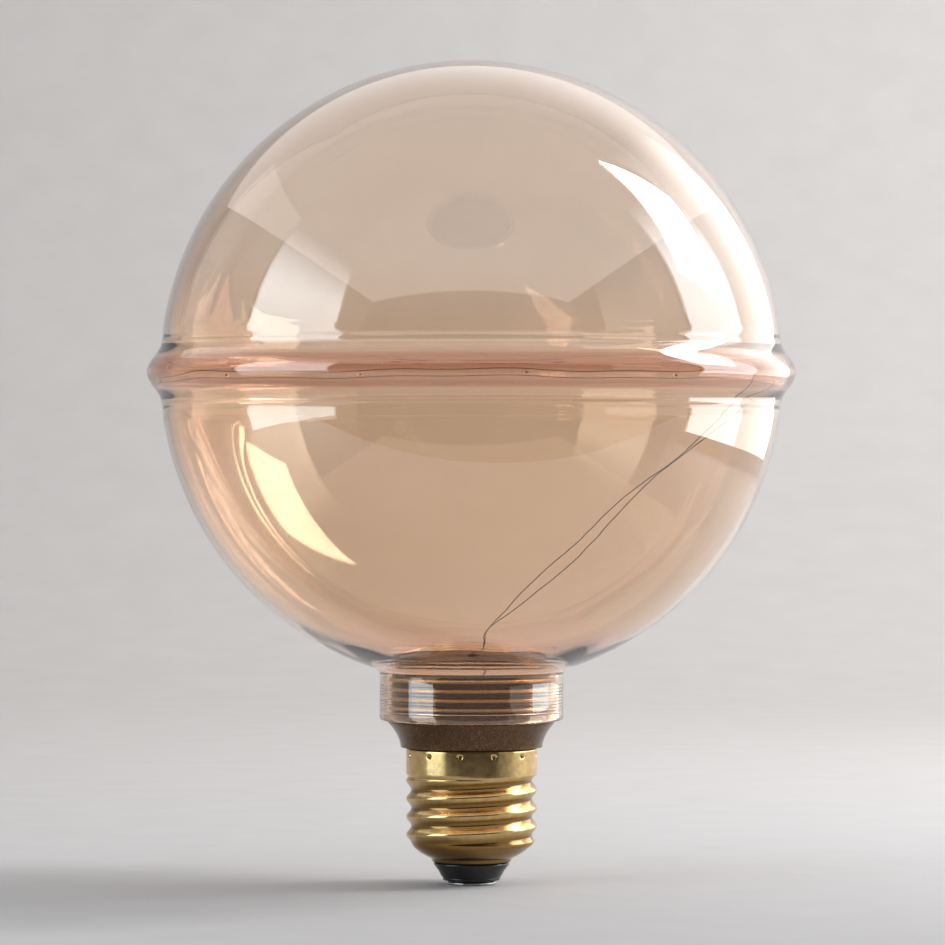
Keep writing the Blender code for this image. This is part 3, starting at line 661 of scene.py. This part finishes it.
# %% Centre contact
tinned = Finish("tinned_metal", Metallic=1.0, Roughness=0.3)
rings = tinned.add("TexWave", 1, {"wave_type": "RINGS", "rings_direction": "Z"}, Vector=tinned.place,
                   Scale=900.0, Distortion=1.0)
tinned.paint(tinned.two_tones(600, (0.50, 0.49, 0.46), (0.68, 0.66, 0.62)))
tinned.gloss(900, 0.22, 0.40, detail=4)
tinned.bump(rings, 0.00001, 0.4)
head_radius = contact_high.x
head_height = 0.6 * MM
head_edge = 0.3 * MM
pin_radius = 1.1 * MM
contact_outline = [(0, contact_high.z), (0.8 * MM, contact_high.z), (pin_radius, contact_high.z - 0.3 * MM),
                   (pin_radius, head_height), (head_radius - head_edge, head_height)]
contact_outline += arc_points((head_radius - head_edge, head_height / 2), head_edge, 90, -90, 8)
contact_outline += [(head_radius - 1.2 * MM, 0.0), (1.8 * MM, 0.0), (1.4 * MM, 0.12 * MM), (0, 0.15 * MM)]
centre_contact = turned("centre_contact_rivet", contact_outline, steps=96)
tinned.dress(centre_contact)
stands_for(centre_contact, "tinned_metal", "centre_contact")

# %% [markdown]
# Two enamelled copper wires, each 0.2 mm thick, leave the bush, cross the globe and lie in the bead. A
# Catmull-Rom curve passes through every place that it is given, so it suits a wire that is known by its bends.
# In the bead the wire is a ring that wavers a little, because wire this fine never lies straight.

# %% The wires' way
wire_radius = 0.1 * MM
string_radius = globe_radius - glass_wall + 0.58 * bead_height
string_drop = 0.9 * MM
string_spacing = 1.1 * MM


def smooth_route(places, per_span):
    """Points along a Catmull-Rom curve through the places."""
    places = [Vector(place) for place in places]
    padded = [2 * places[0] - places[1], *places, 2 * places[-1] - places[-2]]
    route = []
    for a, b, c, d in zip(padded, padded[1:], padded[2:], padded[3:]):
        for i in range(per_span):
            t = i / per_span
            route.append(0.5 * (2 * b + t * (c - a) + t**2 * (2 * a - 5 * b + 4 * c - d)
                                + t**3 * (3 * b - 3 * c + d - a)))
    return route + [places[-1]]


def string_place(turn, offset):
    waver = 0.18 * MM * math.sin(7 * turn) + 0.12 * MM * math.sin(17 * turn + 1)
    height = globe_middle - string_drop + offset + waver
    return Vector((string_radius * math.cos(turn), string_radius * math.sin(turn), height))


print("the string lies in the bead at radius", round(string_radius, 5))

# %% [markdown]
# Each wire is a bevelled curve on the route of its CAD solid: a list of shares of the way between the bush and
# the bead, with a small noise on it, and then nearly a full turn of the ring. The noise leaves the ends alone.
# Blender's vector noise starts from the clock unless it is given a seed, so a seed keeps every run the same.

# %% Enamelled copper wires
copper = Finish("enamelled_copper", Metallic=0.3, Roughness=0.4)
copper.paint(copper.two_tones(1200, (0.045, 0.020, 0.015), (0.09, 0.038, 0.027)))
per_span = 8
ring_points = 360
ring_degrees = 344
thin_in_ring = 0.6
noise.seed_set(7)


def wire_route(node, side, start_degrees, shares):
    offset = side * string_spacing / 2
    low, _ = corners(node)
    in_bush = side * 0.16 * MM
    start = Vector((side * 0.6 * MM, 0, low.z + wire_radius))
    leave = Vector((in_bush, 0, cover_high.z + 1.2 * MM))
    meet = string_place(math.radians(start_degrees), offset)
    reach = meet - leave
    crossing = [leave + Vector((x * reach.x, y * reach.y, z * reach.z)) for x, y, z in shares]
    in_plate = Vector((in_bush, 0, cover_low.z - 0.8 * MM))
    route = smooth_route([start, in_plate, leave, *crossing, meet], per_span)
    for i in range(3 * per_span, len(route) - per_span):
        route[i] = route[i] + 0.16 * MM * noise.noise_vector(route[i] * 330 + Vector((0, side, 0)))
    for i in range(1, ring_points + 1):
        route.append(string_place(math.radians(start_degrees - ring_degrees * i / ring_points), offset))
    return route


def fine_wire(name, node, side, start_degrees, shares):
    route = wire_route(node, side, start_degrees, shares)
    curve = bpy.data.curves.new(name, "CURVE")
    curve.dimensions = "3D"
    curve.bevel_depth = wire_radius
    curve.bevel_resolution = 2
    curve.use_fill_caps = True
    line = curve.splines.new("POLY")
    line.points.add(len(route) - 1)
    for i, (point, place) in enumerate(zip(line.points, route)):
        point.co = (*place, 1.0)
        point.radius = 1.0 if i < len(route) - ring_points else thin_in_ring
    wire = bpy.data.objects.new(name, curve)
    bpy.context.scene.collection.objects.link(wire)
    copper.dress(wire)
    stands_for(wire, "enamelled_copper", node)


supply_shares = [
    (0.034, 0.0, 0.02), (0.045, 0.0, 0.065), (0.058, 0.01, 0.112), (0.205, 0.14, 0.27), (0.39, 0.31, 0.43),
    (0.51, 0.43, 0.545), (0.60, 0.52, 0.615), (0.73, 0.64, 0.705), (0.795, 0.70, 0.762),
    (0.915, 0.82, 0.88), (0.985, 0.91, 0.962)]
return_shares = [
    (0.036, 0.0, 0.018), (0.047, 0.01, 0.065), (0.062, 0.04, 0.118), (0.14, 0.08, 0.185), (0.30, 0.22, 0.32),
    (0.42, 0.33, 0.44), (0.46, 0.36, 0.49), (0.59, 0.48, 0.635), (0.68, 0.56, 0.712),
    (0.805, 0.67, 0.815), (0.895, 0.76, 0.89), (0.985, 0.88, 0.972)]
fine_wire("wire_to_string", "string_wire_supply", 1, -29.8, supply_shares)
fine_wire("wire_from_string", "string_wire_return", -1, -20.0, return_shares)

# %% [markdown]
# Each micro LED is a chip the size of a grain of sand in a drop of clear resin that bridges the two wires. The
# drop is a stretched icosphere turned along the string, and the chip is a small block with bevelled edges.

# %% Micro LEDs
resin = Finish("clear_resin", Roughness=0.05, IOR=1.5, Transmission_Weight=1.0)
resin.paint(resin.two_tones(2500, (0.98, 0.94, 0.82), (0.93, 0.87, 0.70)))
resin.gloss(1800, 0.03, 0.12)
resin.bump(resin.grain(3000, 2), 0.00002, 0.4)
led_chip = Finish("led_chip", Roughness=0.5)
led_chip.paint(led_chip.two_tones(3000, (0.30, 0.22, 0.06), (0.45, 0.34, 0.10)))
drop_radius = 0.35 * MM
drop_stretch = (0.9, 1.8, 1.1)
chip_size = (0.18 * MM, 0.42 * MM, 0.24 * MM)
led_nodes = sorted(name for name in nodes if name.startswith("micro_led_"))
for number, node in enumerate(led_nodes, start=1):
    low, high = corners(node)
    middle = (low + high) / 2
    turn = Matrix.Rotation(math.atan2(middle.y, middle.x), 4, "Z")
    drop_work = bmesh.new()
    bmesh.ops.create_icosphere(drop_work, subdivisions=4, radius=drop_radius)
    bmesh.ops.scale(drop_work, vec=drop_stretch, verts=drop_work.verts)
    bmesh.ops.transform(drop_work, matrix=Matrix.Translation(middle) @ turn, verts=drop_work.verts)
    drop = finished_mesh(f"led_drop_{number:02d}", drop_work)
    resin.dress(drop)
    stands_for(drop, "led_resin", node)
    chip_work = bmesh.new()
    bmesh.ops.create_cube(chip_work, size=1.0)
    bmesh.ops.scale(chip_work, vec=chip_size, verts=chip_work.verts)
    bmesh.ops.bevel(chip_work, geom=chip_work.edges[:], offset=0.03 * MM, segments=2, affect="EDGES")
    bmesh.ops.transform(chip_work, matrix=Matrix.Translation(middle) @ turn, verts=chip_work.verts)
    chip = finished_mesh(f"led_grain_{number:02d}", chip_work)
    led_chip.dress(chip)
    stands_for(chip, "led_resin")

# %% [markdown]
# The driver sits out of sight in the holder and the cap. Its CAD solids already have the right shapes, so
# they stay and get finishes: solder mask with copper tracks, moulded epoxy, shrink sleeve, ferrite and tin.


# %% Finishes for the driver
def mottled(name, dark, light, scale=900.0, roughness=0.4):
    """A plain finish with a fine variation in colour and gloss."""
    finish = Finish(name, Roughness=roughness)
    finish.paint(finish.two_tones(scale, dark, light))
    finish.gloss(2 * scale, 0.85 * roughness, 1.15 * roughness)
    finish.bump(finish.grain(4 * scale), 0.00002, 0.4)
    return finish


def circuit_board(name, mask, track):
    """Solder mask with tracks showing through it as lighter blocks between mask lines."""
    finish = Finish(name, Roughness=0.35)
    finish.paint(finish.add("TexBrick", 0, Vector=finish.place, Color1=mask, Color2=track, Mortar=mask,
                            Scale=220.0, Mortar_Size=0.03))
    finish.bump(finish.grain(1500), 0.00002, 0.4)
    return finish


green_mask = circuit_board("green_solder_mask", (0.012, 0.10, 0.04), (0.03, 0.17, 0.07))
blue_mask = circuit_board("blue_solder_mask", (0.008, 0.02, 0.10), (0.02, 0.05, 0.17))
shrink_sleeve = mottled("shrink_sleeve", (0.02, 0.02, 0.03), (0.05, 0.05, 0.06), roughness=0.3)
moulded_epoxy = mottled("moulded_epoxy", (0.012, 0.012, 0.013), (0.022, 0.022, 0.023), roughness=0.5)
ferrite = mottled("sintered_ferrite", (0.035, 0.035, 0.036), (0.07, 0.07, 0.07), roughness=0.6)
lacquer = mottled("resistor_lacquer", (0.06, 0.16, 0.10), (0.10, 0.22, 0.14), roughness=0.45)
ceramic = mottled("white_ceramic", (0.70, 0.69, 0.65), (0.80, 0.79, 0.75), roughness=0.35)
red_wire = mottled("red_wire_sleeve", (0.30, 0.015, 0.015), (0.42, 0.03, 0.025))
black_wire = mottled("black_wire_sleeve", (0.015, 0.015, 0.015), (0.03, 0.03, 0.03))
driver_finishes = {
    "driver_board": green_mask, "radio_board": blue_mask,
    "input_capacitor": shrink_sleeve, "output_capacitor": shrink_sleeve,
    "bridge_rectifier": moulded_epoxy, "driver_chip": moulded_epoxy, "radio_header": moulded_epoxy,
    "inductor_core": ferrite, "inductor_winding": copper, "fusible_resistor": lacquer,
    "resistor_link": tinned, "radio_shield": tinned, "chip_antenna": ceramic, "string_terminal": ceramic,
    "live_lead": red_wire, "neutral_lead": black_wire,
}
for node, finish in driver_finishes.items():
    finish.dress(nodes[node])
print("finished", len(driver_finishes), "driver pieces")

# %% [markdown]
# The studio is a sweep of pale paper that runs from the table up behind the lamp without a corner. It is a
# strip of faces along a profile of (distance back, height) points. Its front edge runs askew, because the
# glass mirrors it. From behind, the paper lets the view through, so it never hides the lamp.

# %% Paper sweep
paper = Finish("sweep_paper", Roughness=0.8)
paper.paint(paper.two_tones(60, (0.455, 0.438, 0.432), (0.475, 0.458, 0.452)))
see_through = paper.add("BsdfTransparent")
one_sided = paper.add("MixShader").node
paper.set(one_sided, 0, paper.add("NewGeometry", "Backfacing"))
paper.tree.links.new(paper.shader.outputs[0], one_sided.inputs[1])
paper.tree.links.new(see_through, one_sided.inputs[2])
paper.tree.links.new(one_sided.outputs[0], paper.tree.nodes["Material Output"].inputs["Surface"])

table_front, curve_start, curve_radius, wall_top = -0.19, 0.7, 0.6, 2.2
sweep_left, sweep_right = -1.25, 2.2
askew_left, askew_right = -0.17, 0.30
sweep_profile = [(table_front, 0.0), (curve_start, 0.0)]
sweep_profile += [(curve_start + curve_radius * math.sin(math.radians(degrees)),
                   curve_radius - curve_radius * math.cos(math.radians(degrees)))
                  for degrees in range(5, 91, 5)]
sweep_profile += [(curve_start + curve_radius, wall_top)]
sweep_work = bmesh.new()
left_edge = [sweep_work.verts.new((sweep_left, back, height)) for back, height in sweep_profile]
left_edge[0].co.y += askew_left
right_edge = [sweep_work.verts.new((sweep_right, back, height)) for back, height in sweep_profile]
right_edge[0].co.y += askew_right
for i in range(len(sweep_profile) - 1):
    sweep_work.faces.new((left_edge[i], right_edge[i], right_edge[i + 1], left_edge[i + 1]))
sweep = finished_mesh("paper_sweep", sweep_work)
paper.dress(sweep)
print("the sweep is", round(sweep_right - sweep_left, 2), "m wide")

# %% [markdown]
# Product glass is lit by what it mirrors. Tall soft panels on the right are the key, another stands at the
# left, a wide one hangs overhead, and two more light the paper. The tall panels grow dimmer towards their
# tops, so their mirror images in the glass have no hard corners there. The side behind the camera stays dim,
# and gives the glass its deeper amber middle.


# %% Soft panels
def fade_top(light, share):
    """Let a panel grow dimmer towards its top edge, over this share of its height."""
    light.use_nodes = True
    glow = light.node_tree
    across = glow.nodes.new("ShaderNodeNewGeometry")
    split = glow.nodes.new("ShaderNodeSeparateXYZ")
    dimmer = glow.nodes.new("ShaderNodeMapRange")
    dimmer.interpolation_type = "SMOOTHSTEP"
    dimmer.inputs["From Min"].default_value = 1.0
    dimmer.inputs["From Max"].default_value = 1.0 - share
    glow.links.new(across.outputs["Parametric"], split.inputs[0])
    glow.links.new(split.outputs["Y"], dimmer.inputs["Value"])
    glow.links.new(dimmer.outputs["Result"], glow.nodes["Emission"].inputs["Strength"])


def soft_panel(name, place, aim, width, height, power, colour=(1, 1, 1), fade=0.0):
    light = bpy.data.lights.new(name, "AREA")
    light.shape = "RECTANGLE"
    light.size = width
    light.size_y = height
    light.energy = power
    light.color = colour
    if fade:
        fade_top(light, fade)
    panel = bpy.data.objects.new(name, light)
    panel.location = place
    panel.rotation_euler = (Vector(aim) - Vector(place)).to_track_quat("-Z", "Y").to_euler()
    panel.visible_camera = False
    bpy.context.scene.collection.objects.link(panel)
    print("hung", name, width, "by", height, "m with", power, "W")


soft_panel("right_panel", (0.30, 0.03, 0.225), (0, 0.03, 0.225), 0.16, 0.41, 0.70, (0.90, 1.0, 1.12), 0.5)
soft_panel("right_fill", (0.30, 0.29, 0.31), (0, 0.29, 0.31), 0.36, 0.58, 1.15, fade=0.6)
soft_panel("right_front_fill", (0.55, -0.28, 0.30), (0, -0.28, 0.30), 0.42, 0.60, 0.38, fade=0.6)
soft_panel("left_panel", (-0.36, -0.18, 0.213), (0, -0.16, 0.205), 0.28, 0.42, 1.0, (0.84, 1.0, 1.14), 0.4)
soft_panel("left_wall", (-1.2, 0.6, 0.6), (0, 0.4, 0.4), 1.2, 1.2, 1.3)
soft_panel("top_panel", (0, 0, 0.80), (0, 0, 0), 2.0, 2.6, 10.6)
soft_panel("backdrop_panel", (1.1, 0.35, 0.9), (0.4, 1.3, 0.5), 0.8, 0.8, 27)

# %% [markdown]
# The rest of the room is the world. It is dim and slightly warm where the glass mirrors it, and pale where it
# is seen directly or through the glass, so a view past the paper's edge still has a light background. A
# Light Path node tells the two apart.

# %% The room's air
dim_room, pale_room = 0.06, 0.55
world = bpy.data.worlds.new("studio_air")
world.use_nodes = True
air = world.node_tree
light_path = air.nodes.new("ShaderNodeLightPath")
seen = air.nodes.new("ShaderNodeMath")
seen.operation = "MAXIMUM"
air.links.new(light_path.outputs["Is Camera Ray"], seen.inputs[0])
air.links.new(light_path.outputs["Is Transmission Ray"], seen.inputs[1])
strength = air.nodes.new("ShaderNodeMapRange")
strength.inputs["To Min"].default_value = dim_room
strength.inputs["To Max"].default_value = pale_room
air.links.new(seen.outputs[0], strength.inputs["Value"])
air.nodes["Background"].inputs["Color"].default_value = (1.0, 0.95, 0.91, 1.0)
air.links.new(strength.outputs["Result"], air.nodes["Background"].inputs["Strength"])
bpy.context.scene.world = world
print("the air has", len(air.nodes), "nodes")

# %% [markdown]
# The camera stands a metre away, almost level, a little below the bead, with a long lens that keeps the globe
# round. The lens follows from the width that the view should cover at the lamp.

# %% Camera
camera_distance = 1.0
view_width = 0.1897
side_step = 0.0002
camera_height = globe_middle - 15.5 * MM
aim_height = globe_middle - 20.1 * MM
camera_data = bpy.data.cameras.new("studio_camera")
camera_data.sensor_width = 36
camera_data.lens = camera_data.sensor_width * camera_distance / view_width
camera_data.clip_start = 0.01
camera = bpy.data.objects.new("studio_camera", camera_data)
camera.location = (side_step, -camera_distance, camera_height)
aim = Vector((side_step, 0, aim_height))
camera.rotation_euler = (aim - camera.location).to_track_quat("-Z", "Y").to_euler()
bpy.context.scene.collection.objects.link(camera)
bpy.context.scene.camera = camera
print("the lens is", round(camera_data.lens, 1), "mm long")

# %% [markdown]
# Light that reaches the holder passes two or four glass surfaces, so paths are allowed many bounces.

# %% Light paths
scene = bpy.context.scene
scene.cycles.max_bounces = 24
scene.cycles.transmission_bounces = 20
scene.cycles.glossy_bounces = 12
scene.cycles.sample_clamp_indirect = 6.0
scene.view_settings.view_transform = "Standard"
print("light may bounce", scene.cycles.max_bounces, "times")

# %% [markdown]
# The hidden CAD nodes stay in the scene, so the finished lamp can be compared with its CAD model.
